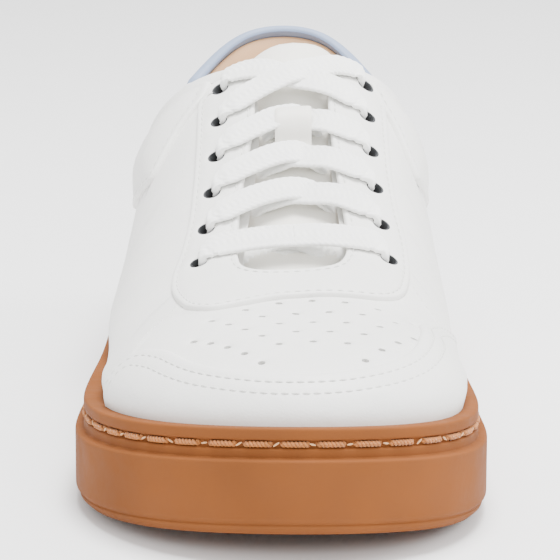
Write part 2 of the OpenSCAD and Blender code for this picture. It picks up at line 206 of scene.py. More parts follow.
def column_of(x, y):
    """Column and angle of the upper that lie above points of the plan."""
    t_out, c_out, best = np.zeros(len(x)), np.zeros(len(x)), np.full(len(x), FAR)
    rows = np.arange(len(x))
    for td, f, r in SIDES:
        d = f - r
        q = np.stack([x, y], -1)[:, None] - r[None]
        cross = d[None, :, 0] * q[..., 1] - d[None, :, 1] * q[..., 0]
        along = (d[None] * q).sum(-1) / (d * d).sum(-1)[None]
        flip = (cross[:, :-1] * cross[:, 1:] <= 0) & (along[:, :-1] > -0.02) & (along[:, :-1] < 1.4)
        k = np.argmax(flip, 1)
        gap = cross[rows, k] - cross[rows, k + 1]
        w = cross[rows, k] / np.where(np.abs(gap) < 1e-12, 1e-12, gap)
        reach = along[rows, k] * (1 - w) + along[rows, k + 1] * w
        miss = np.where(reach < 0, -40 * reach, reach)
        use = flip.any(1) & (miss < best)
        t_out[use] = (td[k] + (td[k + 1] - td[k]) * w)[use]
        c_out[use] = np.clip(reach, 0, 1)[use]
        best[use] = miss[use]
    return t_out, np.degrees(np.arccos(np.clip(c_out, 0, 1) ** (round_at(t_out) / 2)))


def run_length(points):
    """Distance along a line of points, from its first point."""
    return np.concatenate([[0], np.cumsum(norm(np.diff(points, axis=0), axis=1))])


ARC_T = np.linspace(0, 1, 2001)
ARC_S = run_length(outline(ARC_T, UPPER_INSET))
ARC_ALL = ARC_S[-1]
HEEL_S = float(np.interp(0.5, ARC_T, ARC_S))


def t_at(s):
    return np.interp(np.asarray(s) % ARC_ALL, ARC_S, ARC_T)


def station_at(s):
    return feet(t_at(s))[2]


def plan(p):
    """Chart of the top: points seen from above."""
    t, a = column_of(p[:, 0], p[:, 1])
    return skin(t, a)


def wall(p):
    """Chart of the sides: distance round the sole from the toe (medial is negative) and height."""
    t = t_at(p[:, 0])
    return skin(t, angle_at_z(t, p[:, 1]))


def on_chart(chart, p, off):
    """Points over a chart at a height off the leather, with the outward normals."""
    p = np.asarray(p, float)
    e = 0.35
    base = chart(p)
    a = chart(p + (e, 0)) - chart(p - (e, 0))
    b = chart(p + (0, e)) - chart(p - (0, e))
    n = np.cross(a, b)
    n /= norm(n, axis=1, keepdims=True) + TINY
    middle = np.stack([np.full(len(p), 3.0), np.clip(base[:, 1], -80, 100), np.full(len(p), 25.0)], -1)
    n *= np.sign(((base - middle) * n).sum(1, keepdims=True))
    return base + n * np.asarray(off, float).reshape(-1, 1), n


# ---- materials
def material(name, colour, rough, grain=(), mottle=0.04, mottle_size=18.0, sheen=0.0, coat=0.0, spec=0.5):
    """Mottled surface with a stack of grains: kind, size in mm, strength."""
    m = bpy.data.materials.new(name)
    m.use_nodes = True
    nt = m.node_tree
    bsdf = nt.nodes["Principled BSDF"]
    place = nt.nodes.new("ShaderNodeTexCoord").outputs["Object"]

    def field(kind, size):
        if kind == "cells":
            node = nt.nodes.new("ShaderNodeTexVoronoi")
            node.feature = "DISTANCE_TO_EDGE"
            out = node.outputs["Distance"]
        else:
            node = nt.nodes.new("ShaderNodeTexNoise")
            node.inputs["Detail"].default_value = 3.0
            out = node.outputs["Fac"]
        node.inputs["Scale"].default_value = 1000.0 / size
        nt.links.new(place, node.inputs["Vector"])
        return out

    def spread(source, low, high):
        node = nt.nodes.new("ShaderNodeMapRange")
        node.inputs["From Min"].default_value = 0.3
        node.inputs["From Max"].default_value = 0.7
        node.inputs["To Min"].default_value = low
        node.inputs["To Max"].default_value = high
        nt.links.new(source, node.inputs["Value"])
        return node.outputs["Result"]

    mix = nt.nodes.new("ShaderNodeMix")
    mix.data_type = "RGBA"
    mix.inputs["A"].default_value = [c * (1 - mottle) for c in colour] + [1]
    mix.inputs["B"].default_value = [min(1, c * (1 + mottle)) for c in colour] + [1]
    nt.links.new(spread(field("noise", mottle_size), 0, 1), mix.inputs["Factor"])
    nt.links.new(mix.outputs["Result"], bsdf.inputs["Base Color"])
    gloss = spread(field("noise", mottle_size / 4), rough - 0.06, rough + 0.06)
    nt.links.new(gloss, bsdf.inputs["Roughness"])
    bsdf.inputs["Specular IOR Level"].default_value = spec
    bsdf.inputs["Sheen Weight"].default_value = sheen
    bsdf.inputs["Coat Weight"].default_value = coat
    normal = None
    for kind, size, strength in grain:
        bump = nt.nodes.new("ShaderNodeBump")
        bump.inputs["Strength"].default_value = strength
        bump.inputs["Distance"].default_value = size * 0.25 * MM
        nt.links.new(field(kind, size), bump.inputs["Height"])
        if normal:
            nt.links.new(normal, bump.inputs["Normal"])
        normal = bump.outputs["Normal"]
    if normal:
        nt.links.new(normal, bsdf.inputs["Normal"])
    return m


def leather(name, colour, rough, cell, cell_depth, crease, crease_depth, mottle, mottle_size, **extra):
    """Fine pebbled grain over wider soft creases."""
    grain = [("cells", cell, cell_depth), ("noise", crease, crease_depth)]
    return material(name, colour, rough, grain, mottle, mottle_size, **extra)


def fibre(name, colour, rough, size, depth, mottle, mottle_size, **extra):
    """Thread, cloth, board or foam with one fine grain."""
    return material(name, colour, rough, [("noise", size, depth)], mottle, mottle_size, **extra)


WHITE = leather("white_leather", (0.78, 0.775, 0.75), 0.5, 1.1, 0.16, 9, 0.12, 0.02, 30, spec=0.4)
TONGUE_WHITE = leather("tongue_leather", (0.80, 0.78, 0.72), 0.5, 1.0, 0.12, 8, 0.08, 0.012, 25)
TAN = leather("tan_leather", (0.52, 0.30, 0.15), 0.6, 0.9, 0.14, 6, 0.08, 0.06, 14)
BLUE = leather("blue_leather", (0.23, 0.29, 0.42), 0.6, 0.8, 0.14, 5, 0.06, 0.05, 9, sheen=0.1)
GUM_GRAIN = [("noise", 1.6, 0.1), ("noise", 14, 0.08)]
GUM = material("gum_rubber", (0.17, 0.055, 0.014), 0.75, GUM_GRAIN, 0.1, 26, spec=0.12)
THREAD = fibre("sole_thread", (0.36, 0.12, 0.018), 0.6, 0.5, 0.3, 0.12, 3, sheen=0.2)
KNOT = fibre("thread_end", (0.55, 0.30, 0.14), 0.7, 0.4, 0.4, 0.1, 2, sheen=0.2)
SEAM = fibre("upper_thread", (0.70, 0.70, 0.67), 0.55, 0.4, 0.2, 0.02, 3, sheen=0.1)
# Eyelet sleeve colour: the holes' own grey woven lining, darkened to near-black as painted shade inside the
# holes
HOLE_SHADE = fibre("eyelet_painted_shade", (0.055, 0.057, 0.06), 0.95, 0.4, 0.4, 0.1, 1.2, spec=0.1)
LACE = fibre("lace_cotton", (0.88, 0.88, 0.86), 0.85, 0.35, 0.25, 0.02, 4, sheen=0.25, spec=0.2)
LINING = fibre("white_lining", (0.74, 0.73, 0.70), 0.85, 0.5, 0.3, 0.03, 6, sheen=0.2)
FOAM = material("foam", (0.80, 0.77, 0.68), 0.9, [("cells", 0.7, 0.4)], 0.04, 5)
BOARD = fibre("board", (0.50, 0.38, 0.25), 0.9, 0.6, 0.3, 0.1, 3)
STIFF = fibre("stiffener", (0.72, 0.66, 0.52), 0.85, 0.6, 0.3, 0.06, 4)
TIP = fibre("lace_tip", (0.85, 0.85, 0.85), 0.25, 2, 0.05, 0.02, 4, coat=0.3)


# ---- meshes
def make(name, verts, faces, mat, slot, body=SHOE, sharp=40.0, replaced=()):
    """Mesh piece; edges sharper than an angle stay crisp, and it stands for the replaced nodes."""
    mesh = bpy.data.meshes.new(name)
    mesh.from_pydata((np.asarray(verts, float) * MM).tolist(), [], [list(map(int, f)) for f in faces])
    mesh.validate()
    mesh.materials.append(mat)
    mesh.shade_smooth()
    mesh.set_sharp_from_angle(angle=math.radians(sharp))
    obj = bpy.data.objects.new(name, mesh)
    bpy.context.scene.collection.objects.link(obj)
    if body:
        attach(obj, body)
    if replaced:
        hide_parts(*replaced)
    return obj


def loft(rings):
    """Open tube through rings of equal length."""
    m, n = len(rings), len(rings[0])
    verts = np.concatenate(rings)
    i = np.arange(m - 1)[:, None] * n
    k = np.arange(n)[None]
    a = i + k
    b = i + (k + 1) % n
    faces = np.stack([a, b, b + n, a + n], -1).reshape(-1, 4).tolist()
    return verts, faces


def solid_loft(rings, inner):
    """Closed solid through rings, its faces turned away from the middle of ring number inner."""
    verts, faces = loft(list(rings))
    n = len(rings[0])
    faces += [list(range(n))[::-1], [len(verts) - n + j for j in range(n)]]
    a, b, c = (verts[v] for v in faces[n * inner][:3])
    if np.dot(np.cross(b - a, c - a), a - rings[inner].mean(0)) < 0:
        faces = [f[::-1] for f in faces]
    return verts, faces


def strip_cap(first, n, flip=False):
    """Strips across an outline of n points."""
    h = n // 2
    out = [(0, 1, n - 1)] + [(k, k + 1, n - k - 1, n - k) for k in range(1, h - 1)] + [(h - 1, h, h + 1)]
    return [[first + v for v in (f[::-1] if flip else f)] for f in out]


SOLE_T = t_at(np.arange(480) / 480 * ARC_ALL)


def sole_ring(inset, h):
    """Outline of the sole at an inset and a height."""
    p = outline(SOLE_T, np.full(len(SOLE_T), float(inset)))
    return np.column_stack([p, h + spring(p[:, 1])])


def rounded(points, radius, steps=3):
    """Profile with its corners rounded."""
    pts = [np.array(p, float) for p in points]
    out = [pts[0]]
    for a, b, c in zip(pts, pts[1:], pts[2:]):
        u, v = a - b, c - b
        r = min(radius, norm(u) * 0.45, norm(v) * 0.45)
        p, q = b + u / norm(u) * r, b + v / norm(v) * r
        out += [p * (1 - k) ** 2 + b * 2 * k * (1 - k) + q * k * k for k in np.linspace(0, 1, steps + 1)]
    return out + [pts[-1]]


GROOVE_H = CUP_H - 4.4


def outsole():
    """Cup of the sole: profile points are (inset from the edge, height)."""
    profile = [(7.5, 1.6), (6.6, 1.6), (5.6, 0), (1.6, 0)]
    bumper = [(1.6, 0), (-0.1, 1.5), (-0.3, 2.3), (0.1, 2.8), (-BUMPER_OUT, 3.9),
              (-BUMPER_OUT, BUMPER_H - 0.2), (0.5, BUMPER_H + 0.1), (WALL_INSET, BUMPER_H + 0.3)]
    groove = [(WALL_INSET, GROOVE_H - 1.3), (WALL_INSET + 1.2, GROOVE_H - 0.8),
              (WALL_INSET + 1.2, GROOVE_H + 0.8), (WALL_INSET, GROOVE_H + 1.3)]
    rim = [(WALL_INSET, CUP_H), (LIP_INSET - 0.2, CUP_H), (LIP_INSET, CUP_H - 1.5)]
    profile += rounded(bumper + groove + rim, 0.9, 4)
    profile += [(LIP_INSET, CUP_H - 3), (CUP_INSET, CUP_H - 4), (CUP_INSET, 12)]
    verts, faces = loft([sole_ring(*p) for p in profile])
    n = len(SOLE_T)
    faces += strip_cap(0, n, True) + strip_cap((len(profile) - 1) * n, n)
    wave = 0.12 * np.array([noise.noise(Vector(v) * 0.035) for v in verts])
    verts[:, 0] += wave
    make("outsole_cup", verts, [f[::-1] for f in faces], GUM, "gum_rubber", replaced=("outsole",))


def inside_outline(x, y, inset):
    """Whether a point of the plan is within the sole, clear of its edge."""
    edge = outline(SOLE_T, np.full(len(SOLE_T), float(inset)))
    row = np.abs(edge[:, 1] - y)
    left = edge[(edge[:, 0] < 0)]
    right = edge[(edge[:, 0] > 0)]
    lx = left[np.argmin(np.abs(left[:, 1] - y)), 0]
    rx = right[np.argmin(np.abs(right[:, 1] - y)), 0]
    return lx + 1 < x < rx - 1 and row.min() < 3


def tread():
    """Herringbone ribs under the sole."""
    verts, faces = [], []
    for y0 in np.arange(-141, 146, 6.2):
        run = []
        for x in np.arange(-56, 57, 2.0):
            y = y0 + 4.5 * (2 * abs((x / 18.0) % 1 - 0.5) - 0.5)
            ok = abs(y) < 143 and inside_outline(x, y, 8.5)
            if ok:
                run.append((x, y))
            if (not ok or x > 54) and len(run) > 3:
                base = len(verts)
                for px, py in run:
                    lift = float(spring(py))
                    verts += [(px, py - 1.7, 1.7 + lift), (px, py - 1.2, 0.05 + lift),
                              (px, py + 1.2, 0.05 + lift), (px, py + 1.7, 1.7 + lift)]
                for k in range(len(run) - 1):
                    for j in range(4):
                        a, b = base + 4 * k + j, base + 4 * k + (j + 1) % 4
                        faces.append((a, b, b + 4, a + 4))
                end = base + 4 * (len(run) - 1)
                faces += [(base + 3, base + 2, base + 1, base), (end, end + 1, end + 2, end + 3)]
            if not ok:
                run = []
    make("outsole_tread", verts, faces, GUM, "gum_rubber", sharp=30)


UP = np.array((0, 0, 1.0))
STRAND = 0.42


def tube(path, radius, sides=6, flat=1.0, up=None):
    """Closed tube along points; radius may be one number or one per point."""
    path = np.asarray(path, float)
    n = len(path)
    radius = np.broadcast_to(np.asarray(radius, float), (n,))
    tangent = np.gradient(path, axis=0)
    tangent /= norm(tangent, axis=1, keepdims=True) + TINY
    up = np.broadcast_to(UP if up is None else up, (n, 3))
    side = np.cross(tangent, up)
    side /= norm(side, axis=1, keepdims=True) + TINY
    top = np.cross(side, tangent)
    ring = np.arange(sides) * 2 * math.pi / sides
    verts = (path[:, None] + radius[:, None, None] * (np.cos(ring)[None, :, None] * side[:, None]
             + flat * np.sin(ring)[None, :, None] * top[:, None])).reshape(-1, 3)
    _, faces = loft(verts.reshape(n, sides, 3))
    faces += [list(range(sides))[::-1], [(n - 1) * sides + j for j in range(sides)]]
    return verts, faces


class Pile:
    """Many small solids in one mesh."""

    def __init__(self):
        self.verts, self.faces, self.count = [], [], 0

    def add(self, verts, faces):
        self.verts.append(np.asarray(verts, float))
        self.faces += [[self.count + v for v in f] for f in faces]
        self.count += len(verts)

    def mesh(self):
        return np.concatenate(self.verts), self.faces


SEAM_S = run_length(outline(ARC_T, WALL_INSET))


def seam_point(s, inset, h):
    """Points of the sole's wall at distances round it, an inset and a height."""
    t = np.interp(s, SEAM_S, ARC_T)
    p = outline(t, np.full(np.shape(t), float(inset)))
    return np.column_stack([p, h + spring(p[:, 1])])


def sole_thread():
    """Twisted running stitch in the groove of the cup, with a short loop of thread at each gap."""
    twist, ends = Pile(), Pile()
    count = int(SEAM_S[-1] / 10)
    pitch = SEAM_S[-1] / count
    rnd = random.Random(4)
    for k in range(count):
        start = k * pitch + rnd.uniform(-0.3, 0.3)
        s = np.linspace(start, start + 0.76 * pitch, 26)
        x = np.linspace(0, 1, 26)
        dip = 1.4 * (np.abs(2 * x - 1) ** 8)
        for phase in (0, math.pi):
            turn = 2 * math.pi * (s - start) / 2.1 + phase
            mid = seam_point(s, WALL_INSET + 0.35, GROOVE_H)
            out = seam_point(s, WALL_INSET - 0.65, GROOVE_H) - mid
            path = mid + out * (STRAND * np.cos(turn) - dip)[:, None] + UP * STRAND * np.sin(turn)[:, None]
            twist.add(*tube(path, 0.47, 6))
        s = np.linspace(start + 0.8 * pitch, start + 0.96 * pitch, 7)
        lean = rnd.uniform(-0.7, 0.7)
        path = seam_point(s, WALL_INSET + 0.3, GROOVE_H) + UP * np.linspace(-lean, lean, 7)[:, None]
        ends.add(*tube(path, 0.3 * np.sin(np.linspace(0.5, 2.6, 7)), 6))
    make("sole_thread_twist", *twist.mesh(), THREAD, "sole_thread", replaced=("sole_thread",))
    make("sole_thread_ends", *ends.mesh(), KNOT, "sole_thread")


# ---- panels of the upper
def resample(loop, step, closed=True):
    """Evenly spaced points along a line or outline."""
    p = np.asarray(loop, float)
    q = np.vstack([p, p[:1]]) if closed else p
    d = run_length(q)
    n = max(6, int(round(d[-1] / step)))
    s = np.linspace(0, d[-1], n + 1)
    if closed:
        s = s[:-1]
    return np.column_stack([np.interp(s, d, q[:, 0]), np.interp(s, d, q[:, 1])])


def soften(loop, passes, closed=True):
    p = np.asarray(loop, float)
    for _ in range(passes):
        if closed:
            p = (np.roll(p, 1, 0) + 2 * p + np.roll(p, -1, 0)) / 4
        else:
            p = np.vstack([p[:1], (p[:-2] + 2 * p[1:-1] + p[2:]) / 4, p[-1:]])
    return p


def distance(points, loop):
    """Distance of points from an outline, in batches to spare memory."""
    ab = (np.roll(loop, -1, 0) - loop)[None]
    out = np.full(len(points), FAR)
    for k in range(0, len(points), 2000):
        p = points[k:k + 2000, None]
        w = np.clip(((p - loop[None]) * ab).sum(-1) / ((ab * ab).sum(-1) + 1e-12), 0, 1)
        out[k:k + 2000] = norm(p - loop[None] - ab * w[..., None], axis=-1).min(1)
    return out


def contains(loop, points):
    """Which points lie inside an outline."""
    x, y = points[:, 0], points[:, 1]
    inside = np.zeros(len(points), bool)
    for (x0, y0), (x1, y1) in zip(loop, np.roll(loop, -1, 0)):
        if y0 == y1:
            continue
        inside ^= ((y0 > y) != (y1 > y)) & (x < (x1 - x0) * (y - y0) / (y1 - y0) + x0)
    return inside


def inward(loop, d):
    """Outline moved in by d."""
    area = 0.5 * np.sum(loop[:, 0] * np.roll(loop[:, 1], -1) - np.roll(loop[:, 0], -1) * loop[:, 1])
    t = np.roll(loop, -1, 0) - np.roll(loop, 1, 0)
    n = np.stack([-t[:, 1], t[:, 0]], -1) * np.sign(area)
    return loop + n / (norm(n, axis=1, keepdims=True) + TINY) * d


def circle(x, y, r, n):
    a = np.arange(n) * 2 * math.pi / n
    return np.column_stack([x + r * np.cos(a), y + r * np.sin(a)])


EDGE_STEP = 1.2
ROUND_EDGE = 0.7


def panel(name, loop, chart, base, thick, mat, slot, holes=(), step=2.4, seams=(), relief=None,
          replaced=(), corner=4):
    """Cut piece of leather laid on a chart: rounded edges, sunk seams, punched holes and a closed back."""
    loop = soften(resample(loop, EDGE_STEP), corner)
    holes = [np.asarray(h, float) for h in holes]
    rings = [0.12, 0.3, 0.6] + ([1.1] if seams else []) + [x for s in seams for x in (s - 0.35, s, s + 0.35)]
    rings = sorted({round(r, 2) for r in rings})
    free = []
    for r in rings:
        q = inward(loop, r)
        free.append(q[distance(q, loop) > 0.92 * r])
    free += [inward(h, -0.35) for h in holes]
    lo, hi = loop.min(0), loop.max(0)
    gx, gy = np.arange(lo[0], hi[0], step), np.arange(lo[1], hi[1], step * 0.87)
    grid = np.array([(x + (step / 2 if j % 2 else 0), y) for j, y in enumerate(gy) for x in gx])
    grid = grid[contains(loop, grid)]
    grid = grid[distance(grid, loop) > rings[-1] + 0.5 * step]
    for h in holes:
        grid = grid[distance(grid, h) > 0.9]
        grid = grid[~contains(h, grid)]
    free.append(grid)
    points = np.vstack([loop] + holes + free)
    edges, first = [], 0
    for ring in [loop] + holes:
        n = len(ring)
        edges += [(first + k, first + (k + 1) % n) for k in range(n)]
        first += n
    flat, _, tris, _, _, _ = delaunay_2d_cdt([Vector(p) for p in points], edges, [], 2, 1e-5)
    flat = np.array([(v.x, v.y) for v in flat])
    tris = np.array([t for t in tris if len(t) == 3])
    centre = flat[tris].mean(1)
    keep = contains(loop, centre)
    for h in holes:
        keep &= ~contains(h, centre)
    tris = tris[keep]
    d = distance(flat, loop)
    height = thick * np.sqrt(np.clip(1 - (1 - np.clip(d / ROUND_EDGE, 0, 1)) ** 2, 0, 1))
    for h in holes:
        dh = distance(flat, h)
        height -= 0.35 * thick * np.exp(-(dh / 0.35) ** 2)
    for s in seams:
        height -= 0.22 * np.exp(-((d - s) / 0.4) ** 2)
    if relief is not None:
        height += relief(flat, d) * np.clip(d / 1.5, 0, 1)
    top, n = on_chart(chart, flat, base + height)
    bottom = top - n * (height + 0.35)[:, None]
    a, b, c = top[tris[:, 0]], top[tris[:, 1]], top[tris[:, 2]]
    flip = (np.cross(b - a, c - a) * n[tris[:, 0]]).sum(1) < 0
    tris[flip] = tris[flip][:, ::-1]
    count = len(flat)
    seen = {pair: 1 for t in tris for pair in ((t[0], t[1]), (t[1], t[2]), (t[2], t[0]))}
    rim = [(u, v) for (u, v) in seen if (v, u) not in seen]
    faces = tris.tolist() + (tris[:, ::-1] + count).tolist() + [(v, u, u + count, v + count) for u, v in rim]
    obj = make(name, np.vstack([top, bottom]), faces, mat, slot, sharp=50, replaced=replaced)
    return obj, loop


STITCH = 2.1
STITCH_R = 0.26


def stitches(pile, chart, q, off, pitch):
    """Short raised stitches along a line of a chart."""
    d = run_length(on_chart(chart, q, np.zeros(len(q)))[0])
    starts = np.arange(0.5, d[-1] - STITCH, pitch)
    if not len(starts):
        return
    frac = np.linspace(0, 1, 6)
    s = (starts[:, None] + frac[None] * STITCH).ravel()
    p = np.column_stack([np.interp(s, d, q[:, 0]), np.interp(s, d, q[:, 1])])
    lift = np.tile(STITCH_R * 1.1 * np.sin(np.pi * frac) - 0.12, len(starts))
    pts, n = on_chart(chart, p, off + lift)
    for k in range(len(starts)):
        seg = slice(6 * k, 6 * k + 6)
        pile.add(*tube(pts[seg], STITCH_R * np.array([0.55, 0.95, 1, 1, 0.95, 0.55]), 6, 0.8, n[seg]))


def wrinkle(size, amount, seed):
    """Soft unevenness of a panel, as a function of its flat points."""
    def field(flat, d):
        return amount * np.array([noise.noise(Vector((x / size + seed, y / size, seed))) for x, y in flat])
    return field


def along_side(points, side):
    """Points (station, height) of one side as points of the wall chart; side is 1 lateral, -1 medial."""
    s = np.linspace(0, HEEL_S if side > 0 else ARC_ALL - HEEL_S, 700) * side
    st = station_at(s)
    order = np.argsort(st)
    return np.array([(np.interp(y, st[order], s[order]), z) for y, z in points])


def to_wall(points):
    """Plan points as points of the wall chart."""
    p = np.asarray(points, float)
    t, a = column_of(p[:, 0], p[:, 1])
    s = np.interp(t % 1.0, ARC_T, ARC_S)
    s = np.where(s > HEEL_S, s - ARC_ALL, s)
    return np.column_stack([s, skin(t, a)[:, 2]])


# ---- instep rows, eyelets and outlines
SKEW = 0.05
TONGUE_DEPTH = 7.0
LEATHER = 1.2
LAP = 0.3
EYELET_R = 2.6
ROW_PITCH = 15
ROWS = range(6)
ROWS_Y = [-45 + ROW_PITCH * k for k in ROWS]
ROWS_E = [22 + 5.3 * (1 - k / 5) ** 2 for k in ROWS]
SIDE_LENGTHS = [(r[:, 1], norm(f - r, axis=1)) for _, f, r in SIDES]


def over(y_row, x, off):
    """Point above the instep, x from the middle of the throat, at a height off the skin."""
    y_row, x, off = (np.asarray(v, float) for v in (y_row, x, off))
    y = y_row + SKEW * x
    e = x + THROAT_X - ridge_x(y)
    a = np.where(e < 0, np.interp(y, *SIDE_LENGTHS[0]), np.interp(y, *SIDE_LENGTHS[1]))
    a = a + np.maximum(off, -6)
    zb = bed(y) + 0.15
    s = np.maximum(0, 1 - np.abs(e / a) ** ROUND) ** (1 / ROUND)
    return np.stack(np.broadcast_arrays(THROAT_X + x, y, zb + (ridge_z(y) + off - zb) * s), -1)


def over_normal(y, x):
    """Outward direction there."""
    n = np.cross(over(y, x + 1, 0) - over(y, x - 1, 0), over(y + 1, x, 0) - over(y - 1, x, 0))
    return n / norm(n, axis=-1, keepdims=True)


def below(y, x, depth):
    """Point a depth under the instep."""
    return over(y, x, 0) - depth * over_normal(y, x)


def throat_half(y):
    """Half width of the throat."""
    return 15.8 - 5 * ramp(-52, 10, y) + 2 * ramp(15, 36, y)


def eyelet_frame(k, s):
    """Middle of an eyelet, two directions along the leather and the one out of it."""
    y, x = ROWS_Y[k], s * ROWS_E[k]
    p, up = over(y, x, 0), over_normal(y, x)
    e1 = np.cross(up, (0, 1, 0))
    e1 /= norm(e1)
    return p, e1, np.cross(up, e1), up


EYELET_SIDES = 22
EYELET_A = np.arange(EYELET_SIDES) * 2 * math.pi / EYELET_SIDES


def eyelet_ring(k, s):
    """Outline of a punched hole, in plan."""
    p, e1, e2, _ = eyelet_frame(k, s)
    return (p + EYELET_R * (np.cos(EYELET_A)[:, None] * e1 + np.sin(EYELET_A)[:, None] * e2))[:, :2]


HOLES = [eyelet_ring(k, s) for k in ROWS for s in (-1, 1)]


def eyelet_shade_sleeves():
    """Woven sleeve inside each punched hole, a little below the leather's edge; its grey woven lining is
    darkened to near-black as painted shade for the depth of the hole.
    """
    wide_r, tight_r = EYELET_R + 0.3, EYELET_R - 0.35
    section = [(wide_r, 0.95), (tight_r, 0.95), (tight_r, -3.1), (wide_r, -3.1)]
    n = EYELET_SIDES
    faces = [(j * n + i, j * n + (i + 1) % n, (j + 1) % 4 * n + (i + 1) % n, (j + 1) % 4 * n + i)
             for j in range(4) for i in range(n)]
    pile = Pile()
    for k in ROWS:
        for side in (-1, 1):
            p, e1, e2, up = eyelet_frame(k, side)
            ring = [math.cos(b) * e1 + math.sin(b) * e2 for b in EYELET_A]
            # Near-black sleeves: painted shade inside each eyelet
            pile.add([p + r * v + h * up for r, h in section for v in ring], faces)
    make("eyelet_painted_shade_sleeves", *pile.mesh(), HOLE_SHADE, "stiffener", sharp=60)


HOLES_SIDE = {1: [h for h in HOLES if h[0, 0] < THROAT_X], -1: [h for h in HOLES if h[0, 0] > THROAT_X]}
thread_top = Pile()


def sew(chart, loop, depth, off, keep, pitch=3.0):
    """Stitches along the parts of an outline that keep says are in sight."""
    line = inward(loop, depth)
    ok = (distance(line, loop) > 0.9 * depth) & keep(line)
    start = int(np.argmin(ok)) if not ok.all() else 0
    order = np.roll(np.arange(len(line)), -start)
    runs, run = [], []
    for k in list(order) + [order[0]]:
        if ok[k] and (k != order[0] or not run):
            run.append(line[k])
        else:
            runs.append(run)
            run = []
    for run in runs + [run]:
        if len(run) > 4:
            stitches(thread_top, chart, soften(np.array(run), 2, False), off, pitch)


# Horseshoe round the throat, in plan
STAY_OUT = [(-25, 30), (-25, 12), (-25.5, -8), (-26.5, -25), (-28.5, -38), (-31, -48), (-31, -58),
            (-29, -68), (-25.5, -79), (-19.5, -85), (-11, -81.5), (0, -76), (9, -74.5), (20, -74),
            (28, -72.5), (33, -67), (36, -58), (37.5, -45), (37, -32), (34.5, -18), (33, -2),
            (32.5, 14), (32, 33)]
STAY_IN = [(15.5, 35), (14.5, 15), (15.5, 0), (17, -15), (19, -32), (19.5, -45), (17, -53),
           (10, -56.5), (2, -57.5), (-6, -57), (-11.5, -53), (-12.5, -42), (-11.5, -22), (-9.5, -5),
           (-7.5, 10), (-8, 33)]
# Toe panel, in plan
VAMP = [(-47, -88), (-45.5, -112), (-38, -128), (-24, -139), (0, -144), (18, -143), (34, -134),
        (45, -114), (51, -88), (52, -62), (48, -50), (38, -40), (25, -52), (14, -62), (4, -64),
        (-8, -63), (-20, -54), (-30, -56), (-39, -68)]
# Band round the toe, on the wall
GUARD = [(-116, 24), (-100, 24), (-60, 24), (0, 24), (50, 24), (74, 24), (74, 34), (72, 42),
         (67, 46.5), (56, 48), (36, 47.2), (12, 47), (-10, 47.2), (-34, 48), (-60, 49), (-84, 47.6),
         (-100, 44.5), (-110, 41), (-116, 36)]
# Depth of the side panels' top edge under the collar edge
RIM_DROP = 3.4


def rim_points(stations, drop):
    """Points (station, height) a little under the collar edge."""
    return [(y, float(collar_z(y)) - drop) for y in stations]


def upper():
    """Leather panels of the vamp, instep, toe and sides."""
    perforations = [circle(x, y, 1.05, 12) for x, y in fan()]
    panel("vamp_panel", VAMP, plan, -1.1, 1.1, WHITE, "white_leather", holes=perforations, step=2.1,
          relief=wrinkle(26, 0.16, 2.0), replaced=("vamp",))

    _, loop = panel("eyestay_panel", STAY_OUT + STAY_IN, plan, LAP, 1.2, WHITE, "white_leather", holes=HOLES,
                    step=2.0, seams=(1.9,), relief=wrinkle(14, 0.14, 5.0), replaced=("eyestay",), corner=10)
    sew(plan, loop, 1.9, LAP + 1.05, lambda p: p[:, 1] < 29)

    _, loop = panel("toe_guard_panel", resample(GUARD, 6), wall, LAP, 1.2, WHITE, "white_leather", step=2.3,
                    seams=(1.7, 3.9), relief=wrinkle(30, 0.16, 9.0), replaced=("toe_guard",), corner=6)
    for depth in (1.7, 3.9):
        sew(wall, loop, depth, LAP + 1.05, lambda p: (p[:, 1] > 36), pitch=2.8)

    for side, name in ((1, "lateral"), (-1, "medial")):
        heel = HEEL_S if side > 0 else HEEL_S - ARC_ALL
        if side > 0:
            front = [(64, 24), (65, 36), (67, 43), (74, 47.5), (84, 49.5), (97, 50.5), (116, 53.5)]
            inner = [(-20.5, -55), (-16.5, -42), (-13.5, -20), (-11, 0), (-10, 15), (-10, 33)]
        else:
            front = [(-104, 24), (-105, 36), (-107, 44), (-113, 49.5), (-121, 54.5)]
            inner = [(27, -52), (23, -44), (21, -20), (18.5, 0), (17.5, 15), (18, 35)]
        rim = along_side(rim_points((46, 54, 64, 76, 90, 104, 118, 130, 139), RIM_DROP), side)
        back = [(heel, float(collar_z(146)) - RIM_DROP), (heel, 24)]
        loop = resample(front + to_wall(inner).tolist() + rim.tolist() + back, 4)
        _, loop = panel("quarter_%s_panel" % name, loop, wall, -1.1, 1.15, WHITE, "white_leather",
                        holes=[to_wall(h) for h in HOLES_SIDE[side]], step=2.2, relief=quarter_lines(side),
                        replaced=("quarter_" + name,), corner=3)

        def in_sight(p):
            return (np.abs(p[:, 0]) < 120) & (p[:, 1] > 32) & (p[:, 1] < 54)
        sew(wall, loop, 1.7, -0.08, in_sight, pitch=2.8)


def fan():
    """Vent holes of the toe box, in staggered rows that follow the edge of the lacing."""
    out = []
    for row in range(6):
        for k in range(-5, 6):
            x = 9 + 9.3 * (k + 0.5 * (row % 2))
            y = -76.5 - 9.4 * row - (0.022 if x < 9 else 0.009) * (x - 9) ** 2
            rim = 60 - 0.028 * (x - 5) ** 2
            if -27 < x < 41 and y > -78 - rim and not (row > 4 and 2 < x < 16):
                out.append((x, y))
    return out


def quarter_lines(side):
    """Low pressed lines across the side of the shoe."""
    ends = (((-34, 62), (-38, 40)), ((-20, 66), (-26, 34)), ((2, 76), (-14, 34)), ((20, 74), (0, 34)))
    lines = [along_side(pair, side) for pair in ends]
    base = wrinkle(32, 0.22, 3.0 + side)

    def field(flat, d):
        h = base(flat, d)
        for a, b in lines:
            ab = b - a
            w = np.clip(((flat - a) @ ab) / (ab @ ab), 0, 1)
            r = norm(flat - a - ab * w[:, None], axis=1)
            h -= 0.4 * np.exp(-(r / 1.1) ** 2)
        return h
    return field


